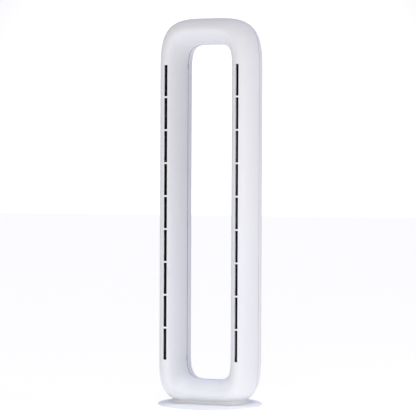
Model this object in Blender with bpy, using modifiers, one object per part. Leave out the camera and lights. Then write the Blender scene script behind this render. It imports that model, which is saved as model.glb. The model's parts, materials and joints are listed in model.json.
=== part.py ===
"""A tall bladeless air purifier: a closed loop tower that swivels on a thin round base.

Metres, +Z up. The front, with its air slots, faces -Y. The origin is on the floor, on the swivel axis.
"""

import math

import bpy
import bmesh
import numpy as np
from mathutils import Euler

# Loop tower: an outer outline and a hole outline in the XZ plane, joined by a lens-shaped section.
# A corner is its height and the power of its superellipse.
TOWER_TOP = 1.000
TOWER_BOTTOM = 0.0053
OUTER_HALF_WIDTH = 0.1295
OUTER_LOW_CORNER = (0.134, 4.02)
OUTER_HIGH_CORNER = (0.162, 3.9)
HOLE_TOP = 0.9317
HOLE_BOTTOM = 0.0665
HOLE_HALF_WIDTH = 0.0630
HOLE_CORNER = (0.0786, 4.06)
HALF_DEPTH = 0.087
SECTION_POWER = 1.85
WALL = 0.0025
SEAM_Y = -0.002
SEAM_GAP = 0.0024
CORNER_STEPS = 8
SECTION_STEPS = 8
COLUMN_X = (OUTER_HALF_WIDTH + HOLE_HALF_WIDTH) / 2
COLUMN_HALF = (OUTER_HALF_WIDTH - HOLE_HALF_WIDTH) / 2

# Air outlets.
SLOT_COUNT = 9
SLOT_LOW = 0.1223
SLOT_HIGH = 0.8761
SLOT_BRIDGE = 0.0045
SLOT_WIDTH = 0.0077
SLOT_X = 0.0950
SLOT_PITCH = (SLOT_HIGH - SLOT_LOW + SLOT_BRIDGE) / SLOT_COUNT

# Base.
BASE_RADIUS = 0.1351
BASE_TOP = 0.0100
DISC_DROPS = (
    (0.045, 0.0), (0.078, 0.0004), (0.100, 0.0007), (0.112, 0.0019), (0.126, 0.0037), (0.1321, 0.0056))
COVER_SKIN = 0.0020
FOOT_HEIGHT = 0.0015
WEIGHT_RADIUS = 0.111
WEIGHT_LOW = 0.0018
WEIGHT_HIGH = 0.0056
POST_RADIUS = 0.0110
POST_BORE = 0.0080
POST_TOP = 0.0275

# Tower foot and swivel drive.
GAP = 0.0003
TRIM_Z = 0.0180
SKIRT_FLARE = 0.0090
SKIRT_CLEARANCE = 0.0004
FLOOR_LOW = 0.0138
FLOOR_HIGH = 0.0163
GEAR_MODULE = 0.00135
GEAR_TEETH = 60
PINION_TEETH = 12
GEAR_LOW = BASE_TOP + GAP
GEAR_HIGH = GEAR_LOW + 0.0030
PINION_X = -GEAR_MODULE * (GEAR_TEETH + PINION_TEETH) / 2
MOTOR_X = PINION_X - 0.008

# Blower.
BLOWER_LOW = 0.0300
BLOWER_HIGH = 0.0520
SCROLL_START = 0.040
SCROLL_GROWTH = 0.011
IMPELLER_RADIUS = 0.034
BLADE_COUNT = 12
BLADE_LEAN = math.radians(25)

# Filter cassettes.
FILTER_LOW = 0.15
FILTER_HIGH = 0.85
COVER_HALF_WIDTH = 0.0215
FILTER_HALF_WIDTH = 0.0185
FILTER_FRONT = 0.030
FILTER_BACK = 0.056
PLEAT_COUNT = 22
INTAKE_ROWS = 14

# Controls.
PANEL_HALF_LENGTH = 0.036
PANEL_HALF_WIDTH = 0.011
PANEL_TOP = 0.9990
PANEL_BOTTOM = 0.9960
BUTTON_RADIUS = 0.0045
BUTTONS = (("power", -0.024), ("speed", -0.010), ("swing", 0.004))
BUTTON_TRAVEL = 0.0008

WHITE = (0.86, 0.86, 0.88)
BLACK = (0.015, 0.015, 0.016)
GREY = (0.30, 0.31, 0.33)

SIDES = (("left", -1), ("right", 1))


# ---- scene helpers ----

def clear_scene():
    for obj in list(bpy.data.objects):
        bpy.data.objects.remove(obj, do_unlink=True)


def new_collection(name):
    collection = bpy.data.collections.new(name)
    bpy.context.scene.collection.children.link(collection)
    return collection


def move_to(obj, collection):
    for old in list(obj.users_collection):
        old.objects.unlink(obj)
    collection.objects.link(obj)


def material(name, color, roughness, metallic=0.0):
    """One Principled material, made once and shared by the sub-parts of that finish."""
    found = bpy.data.materials.get(name)
    if found:
        return found
    made = bpy.data.materials.new(name)
    made.use_nodes = True
    shader = made.node_tree.nodes["Principled BSDF"]
    shader.inputs["Base Color"].default_value = (*color, 1.0)
    shader.inputs["Roughness"].default_value = roughness
    shader.inputs["Metallic"].default_value = metallic
    return made


def white_plastic():
    return material("white_plastic", WHITE, 0.35)


def black_plastic():
    return material("black_plastic", BLACK, 0.45)


def grey_plastic():
    return material("grey_plastic", GREY, 0.50)


def steel():
    return material("zinc_steel", (0.55, 0.56, 0.58), 0.35, 1.0)


def rubber():
    return material("rubber", (0.03, 0.03, 0.03), 0.85)


def filter_paper():
    return material("filter_paper", (0.85, 0.84, 0.80), 0.9)


def circuit_board():
    return material("circuit_board", (0.03, 0.16, 0.08), 0.50)


def place(obj, name, look, parent=None, location=None):
    """Names a part, files it with the parts, and hangs it on its body's empty."""
    obj.name = name
    obj.data.name = name
    if location is not None:
        obj.location = location
    move_to(obj, PARTS)
    obj.data.materials.clear()
    obj.data.materials.append(look)
    if obj.type == "MESH":
        obj.data.shade_smooth()
        obj.data.set_sharp_from_angle(angle=math.radians(35))
    if parent:
        obj.parent = parent
        obj.matrix_parent_inverse = parent.matrix_basis.inverted()
    return obj


def axis_empty(name, location=(0.0, 0.0, 0.0), parent=None):
    empty = bpy.data.objects.new(name, None)
    empty.location = location
    PARTS.objects.link(empty)
    if parent:
        empty.parent = parent
        empty.matrix_parent_inverse = parent.matrix_basis.inverted()
    return empty


def cut(target, cutter, operation="DIFFERENCE"):
    """A Boolean on the part; the cutter goes with the hidden guides."""
    modifier = target.modifiers.new(cutter.name, "BOOLEAN")
    modifier.operation = operation
    modifier.solver = "EXACT"
    modifier.object = cutter
    move_to(cutter, CUTTERS)
    cutter.hide_render = True
    cutter.display_type = "WIRE"


# ---- shape helpers ----

def mesh_object(name, points, faces):
    mesh = bpy.data.meshes.new(name)
    mesh.from_pydata(points, [], faces)
    obj = bpy.data.objects.new(name, mesh)
    PARTS.objects.link(obj)
    return obj


def box(name, low, high):
    size = [b - a for a, b in zip(low, high)]
    middle = [(a + b) / 2 for a, b in zip(low, high)]
    bpy.ops.mesh.primitive_cube_add(size=1.0, location=middle)
    obj = bpy.context.object
    for corner in obj.data.vertices:
        corner.co = [value * length for value, length in zip(corner.co, size)]
    obj.name = name
    return obj


def join(name, objects):
    """Several separate solids as one mesh, for use as a cutter."""
    mesh = bmesh.new()
    for obj in objects:
        copy = obj.data.copy()
        copy.transform(obj.matrix_basis)
        mesh.from_mesh(copy)
        bpy.data.meshes.remove(copy)
        bpy.data.objects.remove(obj, do_unlink=True)
    joined = bpy.data.meshes.new(name)
    mesh.to_mesh(joined)
    mesh.free()
    obj = bpy.data.objects.new(name, joined)
    PARTS.objects.link(obj)
    return obj


def rod(name, radius, low, high, location=(0.0, 0.0), sides=24, along="Z"):
    """A cylinder along Z or Y; location is its place in the two other axes."""
    middle = (low + high) / 2
    if along == "Z":
        place_at, turn = (location[0], location[1], middle), (0.0, 0.0, 0.0)
    else:
        place_at, turn = (location[0], middle, location[1]), (math.pi / 2, 0.0, 0.0)
    bpy.ops.mesh.primitive_cylinder_add(vertices=sides, radius=radius, depth=high - low, location=place_at)
    obj = bpy.context.object
    obj.name = name
    obj.data.transform(turn_matrix(turn))
    return obj


def turn_matrix(angles):
    return Euler(angles).to_matrix().to_4x4()


def circle(radius, sides=32, centre=(0.0, 0.0)):
    angles = [2 * math.pi * step / sides for step in range(sides)]
    return [(centre[0] + radius * math.cos(a), centre[1] + radius * math.sin(a)) for a in angles]


def offset_outline(outline, distance):
    """A closed counter-clockwise outline moved outwards along its normals."""
    moved = []
    for place_at, (x, y) in enumerate(outline):
        before, after = outline[place_at - 1], outline[(place_at + 1) % len(outline)]
        along_x, along_y = after[0] - before[0], after[1] - before[1]
        length = math.hypot(along_x, along_y)
        moved.append((x + along_y / length * distance, y - along_x / length * distance))
    return moved


def plate(name, outlines, low, high):
    """A flat outline, with any holes, as a 2D curve extruded from low to high and made a mesh."""
    curve = bpy.data.curves.new(name, "CURVE")
    curve.dimensions = "2D"
    curve.fill_mode = "BOTH"
    curve.extrude = (high - low) / 2
    for outline in outlines:
        spline = curve.splines.new("POLY")
        spline.points.add(len(outline) - 1)
        for point, (x, y) in zip(spline.points, outline):
            point.co = (x, y, 0.0, 1.0)
        spline.use_cyclic_u = True
    drawn = bpy.data.objects.new(name + "_outline", curve)
    drawn.location.z = (low + high) / 2
    PARTS.objects.link(drawn)
    bpy.context.view_layer.update()
    mesh = bpy.data.meshes.new_from_object(drawn.evaluated_get(bpy.context.evaluated_depsgraph_get()))
    made = bpy.data.objects.new(name, mesh)
    made.matrix_world = drawn.matrix_world
    PARTS.objects.link(made)
    bpy.data.objects.remove(drawn, do_unlink=True)
    weld = bmesh.new()
    weld.from_mesh(mesh)
    bmesh.ops.remove_doubles(weld, verts=weld.verts, dist=0.00001)
    bmesh.ops.recalc_face_normals(weld, faces=weld.faces)
    weld.to_mesh(mesh)
    weld.free()
    return made


def turned(name, profile, steps=48):
    """A profile of (radius, height) points, top to bottom down its outer side, screwed round Z."""
    mesh = bpy.data.meshes.new(name)
    count = len(profile)
    closed = profile[0][0] > 0.0
    edges = [(i, i + 1) for i in range(count - 1)] + ([(count - 1, 0)] if closed else [])
    mesh.from_pydata([(radius, 0.0, height) for radius, height in profile], edges, [])
    obj = bpy.data.objects.new(name, mesh)
    PARTS.objects.link(obj)
    screw = obj.modifiers.new("turn", "SCREW")
    screw.steps = steps
    screw.render_steps = steps
    screw.use_merge_vertices = True
    screw.merge_threshold = 0.00001
    return obj


# ---- the loop's surface ----

def corner_point(angle, half_width, corner_z, corner):
    """(x, z) on a superellipse corner whose centre is at height corner_z."""
    height, power = corner
    cosine, sine = math.cos(angle), math.sin(angle)
    x = math.copysign(abs(cosine) ** (2 / power), cosine) * half_width
    z = corner_z + math.copysign(abs(sine) ** (2 / power), sine) * height
    return x, z


def loop_outline(half_width, bottom, top, low_corner, high_corner):
    """(x, z) points round a tall rounded rectangle, counter-clockwise as seen from the front."""
    points = []
    for quarter in range(4):
        low = quarter in (0, 3)
        corner = low_corner if low else high_corner
        corner_z = bottom + corner[0] if low else top - corner[0]
        for step in range(CORNER_STEPS + 1):
            angle = math.pi / 2 * (quarter - 1 + step / CORNER_STEPS)
            points.append(corner_point(angle, half_width, corner_z, corner))
        if quarter in (1, 3):
            points.pop()
    return points


def half_section(side, seam, inset):
    """(thickness, depth) points from the outer wall round the nose to the hole wall, one half of the loop."""
    depth = HALF_DEPTH - inset
    seam_thickness = (1 - (abs(seam) / depth) ** SECTION_POWER) ** (1 / SECTION_POWER)
    points = [(seam_thickness, seam)]
    for step in range(1, SECTION_STEPS):
        angle = math.pi * step / SECTION_STEPS
        cosine, sine = math.cos(angle), math.sin(angle)
        thickness = math.copysign(abs(cosine) ** (2 / SECTION_POWER), cosine)
        points.append((thickness, side * depth * sine ** (2 / SECTION_POWER)))
    points.append((-seam_thickness, seam))
    return points


def loop_half(name, side, seam, inset=0.0, closed=False):
    """The front (side -1) or rear (side +1) half of the loop's surface, open at the seam unless closed."""
    outer = loop_outline(
        OUTER_HALF_WIDTH - inset, TOWER_BOTTOM + inset, TOWER_TOP - inset,
        OUTER_LOW_CORNER, OUTER_HIGH_CORNER)
    hole = loop_outline(
        HOLE_HALF_WIDTH + inset, HOLE_BOTTOM - inset, HOLE_TOP + inset, HOLE_CORNER, HOLE_CORNER)
    section = half_section(side, seam, inset)
    points = []
    for (outer_x, outer_z), (hole_x, hole_z) in zip(outer, hole):
        for thickness, depth in section:
            x = (outer_x + hole_x) / 2 + (outer_x - hole_x) / 2 * thickness
            z = (outer_z + hole_z) / 2 + (outer_z - hole_z) / 2 * thickness
            points.append((x, depth, z))
    rings, row = len(outer), len(section)
    faces = []
    for ring in range(rings):
        following = (ring + 1) % rings
        for step in range(row if closed else row - 1):
            after = (step + 1) % row
            face = (ring * row + step, following * row + step, following * row + after, ring * row + after)
            faces.append(face if side < 0 else face[::-1])
    return mesh_object(name, points, faces)


def shell_half(name, side):
    """A hollow half of the loop with WALL thick walls."""
    shell = loop_half(name, side, SEAM_Y + side * SEAM_GAP / 2)
    wall = shell.modifiers.new("wall", "SOLIDIFY")
    wall.thickness = WALL
    wall.offset = -1.0
    wall.use_even_offset = True
    return shell


def level_outline(level, steps=10):
    """(x, y) points round the loop where a level plane cuts its bottom bridge, counter-clockwise."""
    outer_z, hole_z = TOWER_BOTTOM + OUTER_LOW_CORNER[0], HOLE_BOTTOM + HOLE_CORNER[0]
    half_height = (HOLE_BOTTOM - TOWER_BOTTOM) / 2
    thickness = (TOWER_BOTTOM + half_height - level) / half_height
    widest = HALF_DEPTH * (1 - thickness ** SECTION_POWER) ** (1 / SECTION_POWER)
    quadrant = []
    for step in range(steps):
        depth = widest * math.sin(math.pi / 2 * step / steps)
        thickness = (1 - (depth / HALF_DEPTH) ** SECTION_POWER) ** (1 / SECTION_POWER)
        low, high = -math.pi / 2, 0.0
        for _ in range(40):
            angle = (low + high) / 2
            outer = corner_point(angle, OUTER_HALF_WIDTH, outer_z, OUTER_LOW_CORNER)
            hole = corner_point(angle, HOLE_HALF_WIDTH, hole_z, HOLE_CORNER)
            x, z = ((a + b) / 2 + (a - b) / 2 * thickness for a, b in zip(outer, hole))
            low, high = (angle, high) if z < level else (low, angle)
        quadrant.append((x, depth))
    right = [(x, -y) for x, y in reversed(quadrant[1:])] + quadrant
    return right + [(-x, -y) for x, y in right]


def trim_flat_bottom(shell, name):
    cut(shell, box(name, (-0.2, -0.2, -0.05), (0.2, 0.2, TRIM_Z)))


# ---- tower casing ----

SCREW_PLACES = ((-0.092, 0.945), (0.092, 0.945), (-0.094, 0.052), (0.094, 0.052))
BOSS_RADIUS = 0.0045
SLEEVE_RADIUS = 0.0058
SLEEVE_BORE = 0.0040
SCREW_RADIUS = 0.0014
SCREW_SEAT = 0.0060
FOOT_SCREW_X = 0.040
FOOT_SCREW_Y = 0.0612
FOOT_BOSS_TOP = 0.0285
INLET_HALF_WIDTH = 0.0157
INLET_LOW = 0.0248
INLET_HIGH = 0.0432


def front_bosses():
    """Blind bosses on the front shell that take the casing screws, ending inside the front wall."""
    bosses = join("front_bosses", [
        rod("boss", BOSS_RADIUS, -0.085, SEAM_Y - 0.001, at, 12, "Y") for at in SCREW_PLACES])
    cut(bosses, loop_half("front_boss_limit", -1, SEAM_Y - 0.0005, WALL / 2, closed=True), "INTERSECT")
    return bosses


def rear_sleeves():
    """Deep sleeves on the rear shell through which the casing screws are driven."""
    sleeves = join("rear_sleeves", [
        rod("sleeve", SLEEVE_RADIUS, SEAM_Y + 0.001, 0.085, at, 16, "Y") for at in SCREW_PLACES])
    cut(sleeves, loop_half("rear_sleeve_limit", 1, SEAM_Y + 0.0005, WALL / 2, closed=True), "INTERSECT")
    return sleeves


def foot_bosses(name, side):
    """Two upright bosses on a shell's lower edge that take the tower foot's screws."""
    return join(name, [
        rod("boss", BOSS_RADIUS - 0.0005, TRIM_Z - 0.001, FOOT_BOSS_TOP, (x, side * FOOT_SCREW_Y), 12)
        for x in (-FOOT_SCREW_X, FOOT_SCREW_X)])


def foot_screw_holes(name, side):
    return join(name, [
        rod("hole", SCREW_RADIUS + GAP, 0.0, FOOT_BOSS_TOP - 0.0015, (x, side * FOOT_SCREW_Y), 10)
        for x in (-FOOT_SCREW_X, FOOT_SCREW_X)])


def front_shell(parent):
    shell = shell_half("front_shell", -1)
    cut(shell, front_bosses(), "UNION")
    cut(shell, foot_bosses("front_foot_bosses", -1), "UNION")
    trim_flat_bottom(shell, "front_trim")
    cut(shell, foot_screw_holes("front_foot_holes", -1))
    cut(shell, outlet_slots())
    cut(shell, join("front_screw_holes", [
        rod("hole", SCREW_RADIUS + GAP, -0.016, 0.01, at, 10, "Y") for at in SCREW_PLACES]))
    cut(shell, panel_opening("front_panel_opening"))
    return place(shell, "front_shell", white_plastic(), parent)


def rear_shell(parent):
    shell = shell_half("rear_shell", 1)
    cut(shell, rear_sleeves(), "UNION")
    cut(shell, foot_bosses("rear_foot_bosses", 1), "UNION")
    trim_flat_bottom(shell, "rear_trim")
    cut(shell, foot_screw_holes("rear_foot_holes", 1))
    cut(shell, join("rear_screw_bores", [
        rod("bore", SLEEVE_BORE, SCREW_SEAT, 0.12, at, 16, "Y") for at in SCREW_PLACES]))
    cut(shell, join("rear_screw_holes", [
        rod("hole", SCREW_RADIUS + GAP, -0.01, SCREW_SEAT + 0.001, at, 10, "Y") for at in SCREW_PLACES]))
    cut(shell, panel_opening("rear_panel_opening"))
    bay = [(FILTER_LOW - GAP, FILTER_HIGH + GAP)]
    cut(shell, column_boxes("filter_openings", COLUMN_X, COVER_HALF_WIDTH + GAP, 0.03, 0.2, bay))
    half_width = INLET_HALF_WIDTH + GAP
    low, high = INLET_LOW - GAP, INLET_HIGH + GAP
    cut(shell, box("inlet_opening", (-half_width, 0.05, low), (half_width, 0.2, high)))
    return place(shell, "rear_shell", white_plastic(), parent)


def slot_rows(shorten=0.0):
    """(low, high) of each slot up a column."""
    lows = [SLOT_LOW + row * SLOT_PITCH for row in range(SLOT_COUNT)]
    return [(low + shorten, low + SLOT_PITCH - SLOT_BRIDGE - shorten) for low in lows]


def column_boxes(name, middle, half_width, front, back, rows):
    """One box for each (low, high) row on each column, as one cutter."""
    return join(name, [
        box(name, (side * middle - half_width, front, low), (side * middle + half_width, back, high))
        for _, side in SIDES for low, high in rows])


def outlet_slots():
    return column_boxes("outlet_slots", SLOT_X, SLOT_WIDTH / 2, -0.2, -0.0760, slot_rows())


def panel_opening(name):
    outline = capsule(PANEL_HALF_LENGTH + GAP, PANEL_HALF_WIDTH + GAP)
    opening = plate(name, [outline], 0.9905, 1.01)
    opening.location.y = SEAM_Y
    return opening


def capsule(half_length, radius, centre=(0.0, 0.0), steps=8):
    """A straight slot outline with round ends along X."""
    points = []
    for end in (1, -1):
        for step in range(steps + 1):
            angle = math.pi * (step / steps - 0.5) + (0.0 if end > 0 else math.pi)
            x = end * (half_length - radius) + radius * math.cos(angle)
            points.append((centre[0] + x, centre[1] + radius * math.sin(angle)))
    return points


def casing_screws(parent):
    for number, (x, z) in enumerate(SCREW_PLACES, 1):
        head = 0.0020
        profile = [
            (0.0, head), (0.0026, head), (0.0031, 0.0),
            (SCREW_RADIUS, 0.0), (SCREW_RADIUS, -0.019), (0.0, -0.0205)]
        screw = turned("casing_screw", profile, 12)
        screw.rotation_euler = (-math.pi / 2, 0.0, 0.0)
        place(screw, f"casing_screw_{number}", steel(), parent, (x, SCREW_SEAT + GAP, z))


def outlet_grilles(parent):
    """Black strips with one narrow jet opening behind each slot."""
    half_width, front, thickness = 0.0048, -0.0798, 0.0014
    margin, jet_half_width = 0.006, 0.001
    for name, side in SIDES:
        middle = side * SLOT_X
        strip = box("strip", (middle - half_width, front, SLOT_LOW - margin),
                    (middle + half_width, front + thickness, SLOT_HIGH + margin))
        cut(strip, column_boxes(f"jets_{name}", SLOT_X, jet_half_width, -0.1, -0.05, slot_rows(0.004)))
        place(strip, f"outlet_grille_{name}", black_plastic(), parent)


def air_ducts(parent):
    """A tapered channel in each column, open below and along its front edge."""
    wall = 0.0015
    outer = [(0.0040, -0.0780), (0.0160, -0.0570), (0.0160, -0.0130)]
    outer += [(-x, y) for x, y in reversed(outer)]
    inner = [(0.0035 - wall / 2, -0.0900), (0.0160 - wall, -0.0565), (0.0160 - wall, -0.0130 - wall)]
    inner += [(-x, y) for x, y in reversed(inner)]
    for name, side in SIDES:
        duct = plate("duct", [outer], 0.105, SLOT_HIGH + 0.008)
        hollow = plate(f"duct_hollow_{name}", [inner], 0.05, SLOT_HIGH + 0.008 - wall)
        duct.location.x = side * COLUMN_X
        hollow.location.x = side * COLUMN_X
        cut(duct, hollow)
        place(duct, f"air_duct_{name}", grey_plastic(), parent)


# ---- base ----

def disc_top(radius):
    """Height of the disc's upper face at a distance from the swivel axis."""
    radii, drops = zip(*DISC_DROPS)
    return BASE_TOP - float(np.interp(radius, radii, drops))


def base_cover():
    """The thin domed disc with a rolled rim; its hollow underside takes the weight plate."""
    rim = BASE_RADIUS
    lip = 0.0034
    bore = POST_RADIUS + GAP
    upper = [(bore, BASE_TOP)] + [(radius, disc_top(radius)) for radius, _ in DISC_DROPS]
    edge = [(rim - 0.0008, 0.0032), (rim, 0.0020), (rim - 0.0008, 0.0010), (rim - lip, 0.0010)]
    lower = [(radius - 0.0020, disc_top(radius) - COVER_SKIN) for radius, _ in reversed(DISC_DROPS[:-1])]
    profile = upper + edge + lower + [(bore, BASE_TOP - COVER_SKIN)]
    return place(turned("cover", profile, 48), "base_cover", white_plastic())


BASE_SCREW_RADIUS = 0.070
FOOT_CIRCLE = 0.105


def ring_places(count, radius, start=45.0):
    angles = [math.radians(start + 360.0 * step / count) for step in range(count)]
    return [(radius * math.cos(a), radius * math.sin(a)) for a in angles]


def base_weight():
    """Steel disc that keeps the tower upright, with countersinks for its screws."""
    disc = plate("disc", [circle(WEIGHT_RADIUS, 48), circle(POST_BORE, 16)], WEIGHT_LOW, WEIGHT_HIGH)
    screw_places = ring_places(4, BASE_SCREW_RADIUS, 0.0)
    sinks = [rod("sink", 0.0035, 0.0, WEIGHT_LOW + 0.0014, at, 12) for at in screw_places]
    cut(disc, join("screw_sinks", sinks))
    holes = [rod("hole", 0.0019, 0.0, 0.02, at, 12) for at in ring_places(4, BASE_SCREW_RADIUS, 0.0)]
    cut(disc, join("screw_holes", holes))
    return place(disc, "base_weight", steel())


def base_fixings():
    head_height = 0.0010
    for number, (x, y) in enumerate(ring_places(4, BASE_SCREW_RADIUS, 0.0), 1):
        profile = [(0.0, 0.0045), (0.0015, 0.0045), (0.0015, head_height), (0.0031, 0.0), (0.0, 0.0)]
        screw = turned("screw", profile, 12)
        place(screw, f"base_screw_{number}", steel(), None, (x, y, WEIGHT_LOW + 0.0002))
    for number, (x, y) in enumerate(ring_places(4, FOOT_CIRCLE), 1):
        pad = turned("pad", [(0.0, FOOT_HEIGHT), (0.0080, FOOT_HEIGHT), (0.0074, 0.0), (0.0, 0.0)], 14)
        place(pad, f"foot_{number}", rubber(), None, (x, y, 0.0))


def swivel_post():
    """Flanged steel tube on the weight plate; the supply lead would pass up its bore."""
    flange_top = BASE_TOP - COVER_SKIN - GAP
    low = WEIGHT_HIGH + GAP
    profile = [
        (POST_BORE, POST_TOP), (POST_RADIUS, POST_TOP), (POST_RADIUS, flange_top), (0.030, flange_top),
        (0.030, low), (POST_BORE, low)]
    return place(turned("post", profile, 32), "swivel_post", steel())


def slide_washer():
    outlines = [circle(0.030, 40), circle(POST_RADIUS + GAP, 32)]
    ring = plate("washer", outlines, BASE_TOP + GAP, FLOOR_LOW - GAP)
    return place(ring, "slide_washer", material("acetal", (0.75, 0.74, 0.70), 0.4))


def post_retainer():
    """Ring nut that holds the tower's hub down on the post."""
    ring = plate("retainer", [circle(0.0170, 6), circle(POST_RADIUS + GAP, 32)], 0.0243, 0.0265)
    return place(ring, "post_retainer", steel())


# ---- gears ----

def involute_tooth(teeth, addendum, dedendum, fill):
    """(radius, half angle) pairs from root to tip for one flank, with fill < 0.5 for backlash."""
    pitch_radius = GEAR_MODULE * teeth / 2
    base_radius = pitch_radius * math.cos(math.radians(20))
    half_at_pitch = math.pi / (2 * teeth) * fill

    def spread(radius):
        ratio = max(radius / base_radius, 1.0)
        angle = math.acos(1 / ratio)
        return math.tan(angle) - angle

    radii = [pitch_radius - dedendum, pitch_radius, pitch_radius + addendum / 2, pitch_radius + addendum]
    return [(radius, half_at_pitch + spread(pitch_radius) - spread(radius)) for radius in radii]


def gear_outline(teeth, shown, first_angle, fill=0.84, plain_steps=24):
    """A spur gear outline; teeth past the shown count are left off and the rim there is plain."""
    flank = involute_tooth(teeth, GEAR_MODULE * 0.8, GEAR_MODULE * 1.1, fill)
    pitch_angle = 2 * math.pi / teeth
    points = []
    for tooth in range(shown):
        middle = first_angle + tooth * pitch_angle
        for radius, half in flank:
            points.append((radius * math.cos(middle - half), radius * math.sin(middle - half)))
        for radius, half in reversed(flank):
            points.append((radius * math.cos(middle + half), radius * math.sin(middle + half)))
    missing = (teeth - shown) * pitch_angle
    if shown < teeth:
        root = flank[0][0]
        start = first_angle + (shown - 0.5) * pitch_angle
        for step in range(plain_steps + 1):
            angle = start + missing * step / plain_steps
            points.append((root * math.cos(angle), root * math.sin(angle)))
    return points


def gear_ring():
    """Fixed toothed ring on the base; only the reach of the swivel carries teeth, centred on -X."""
    shown = 19
    first = math.pi - (shown - 1) / 2 * 2 * math.pi / GEAR_TEETH
    ring = plate("ring", [gear_outline(GEAR_TEETH, shown, first), circle(0.034, 32)], GEAR_LOW, GEAR_HIGH)
    return place(ring, "gear_ring", material("acetal", (0.75, 0.74, 0.70), 0.4))


def oscillation_drive(tower):
    axis = axis_empty("pinion_axis", (PINION_X, 0.0, 0.0), tower)
    outline = gear_outline(PINION_TEETH, PINION_TEETH, math.pi / PINION_TEETH)
    wheel = plate("wheel", [outline], GEAR_LOW, GEAR_HIGH)
    cut(wheel, rod("pinion_shaft", 0.0022, GEAR_LOW + 0.001, 0.0190, sides=16), "UNION")
    wheel.location.x = PINION_X
    bpy.data.objects["pinion_shaft"].location.x = PINION_X
    place(wheel, "drive_pinion", material("acetal", (0.75, 0.74, 0.70), 0.4), axis)
    motor = plate("motor", [circle(0.0140, 32)], FLOOR_HIGH + GAP, 0.0290)
    motor.location.x = MOTOR_X
    pocket = rod("motor_shaft_pocket", 0.0026, 0.0, 0.0195, (PINION_X, 0.0), 16)
    cut(motor, pocket)
    place(motor, "oscillation_motor", steel(), tower)


def ring_loft(name, rows):
    """A closed ring skinned through rows of points; the last row joins back to the first."""
    count = len(rows[0])
    faces = []
    for row in range(len(rows)):
        start, following = row * count, (row + 1) % len(rows) * count
        for step in range(count):
            after = (step + 1) % count
            faces.append((start + step, following + step, following + after, start + after))
    return mesh_object(name, [point for row in rows for point in row], faces)


def tower_foot(tower):
    """Closes the tower below: a skirt that flares onto the base, and a floor with a hub round the post."""
    outline = level_outline(TRIM_Z)
    shelf, top = 0.0060, TRIM_Z - GAP - 0.0001
    lip = BASE_TOP + SKIRT_CLEARANCE
    # Each row: offset outwards, height, and how closely it follows the disc's fall.
    section = [
        (0.0, top, 0.0), (0.0002, top - 0.0014, 0.0), (0.0010, 0.0140, 0.0), (0.0028, 0.0120, 0.3),
        (0.0056, 0.0110, 0.7), (SKIRT_FLARE, lip + 0.0004, 1.0), (SKIRT_FLARE - 0.0004, lip, 1.0),
        (0.0030, lip + 0.0007, 0.8), (-0.0020, FLOOR_LOW, 0.0), (-shelf, FLOOR_LOW, 0.0), (-shelf, top, 0.0)]
    rows = []
    for offset, height, follow in section:
        row = offset_outline(outline, offset)
        rows.append([(x, y, height - follow * (BASE_TOP - disc_top(math.hypot(x, y)))) for x, y in row])
    foot = ring_loft("foot", rows)
    floor = plate("foot_floor", [offset_outline(outline, -0.0040)], FLOOR_LOW, FLOOR_HIGH)
    cut(foot, floor, "UNION")
    cut(foot, rod("swivel_hub", 0.0150, FLOOR_LOW, 0.0240, sides=32), "UNION")
    cut(foot, rod("hub_bore", POST_RADIUS + GAP, 0.0, 0.05, sides=32))
    cut(foot, rod("pinion_opening", 0.0035, 0.0, 0.05, (PINION_X, 0.0), 16))
    for side in (-1, 1):
        cut(foot, foot_screw_holes(f"foot_holes_{side}", side))
    return place(foot, "tower_foot", white_plastic(), tower)


def foot_screws(tower):
    """Screws from below through the tower foot into the shells' bosses."""
    head, length = 0.0018, 0.0110
    places = [(x, y) for y in (-FOOT_SCREW_Y, FOOT_SCREW_Y) for x in (-FOOT_SCREW_X, FOOT_SCREW_X)]
    for number, (x, y) in enumerate(places, 1):
        profile = [
            (0.0, length), (SCREW_RADIUS, length - 0.001), (SCREW_RADIUS, 0.0),
            (0.0031, 0.0), (0.0026, -head), (0.0, -head)]
        screw = turned("foot_screw", profile, 12)
        place(screw, f"foot_screw_{number}", steel(), tower, (x, y, FLOOR_LOW - GAP))


# ---- blower ----

def scroll(offset, steps=40):
    """The scroll's spiral outline, growing counter-clockwise to the outlet on +X."""
    points = []
    for step in range(steps + 1):
        turn = step / steps
        radius = SCROLL_START + SCROLL_GROWTH * turn + offset
        points.append((radius * math.cos(2 * math.pi * turn), radius * math.sin(2 * math.pi * turn)))
    return points


def blower(tower):
    wall = 0.0015
    casing = plate("casing", [scroll(wall)], BLOWER_LOW, BLOWER_HIGH)
    cut(casing, plate("scroll_hollow", [scroll(0.0)], BLOWER_LOW + wall, 0.06))
    cut(casing, box("scroll_outlet", (0.036, 0.004, BLOWER_LOW + wall), (0.07, 0.022, 0.06)))
    place(casing, "blower_scroll", grey_plastic(), tower)
    lid = plate("lid", [scroll(wall), circle(0.0240, 32)], BLOWER_HIGH + GAP, BLOWER_HIGH + GAP + wall)
    place(lid, "blower_lid", grey_plastic(), tower)
    pad = plate("pad", [circle(0.0130, 24)], BLOWER_LOW + wall + GAP, BLOWER_LOW + wall + 0.0018)
    place(pad, "motor_mount", rubber(), tower)
    motor_low = BLOWER_LOW + wall + 0.0018 + GAP
    motor = plate("motor", [circle(0.0135, 28), circle(0.0040, 16)], motor_low, motor_low + 0.0090)
    place(motor, "blower_motor", steel(), tower)
    sleeve = plate("sleeve", [circle(0.0037, 16), circle(0.0018, 16)], motor_low + 0.0005, motor_low + 0.0085)
    place(sleeve, "motor_bearing", material("bronze", (0.55, 0.38, 0.20), 0.35, 1.0), tower)
    return motor_low


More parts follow.
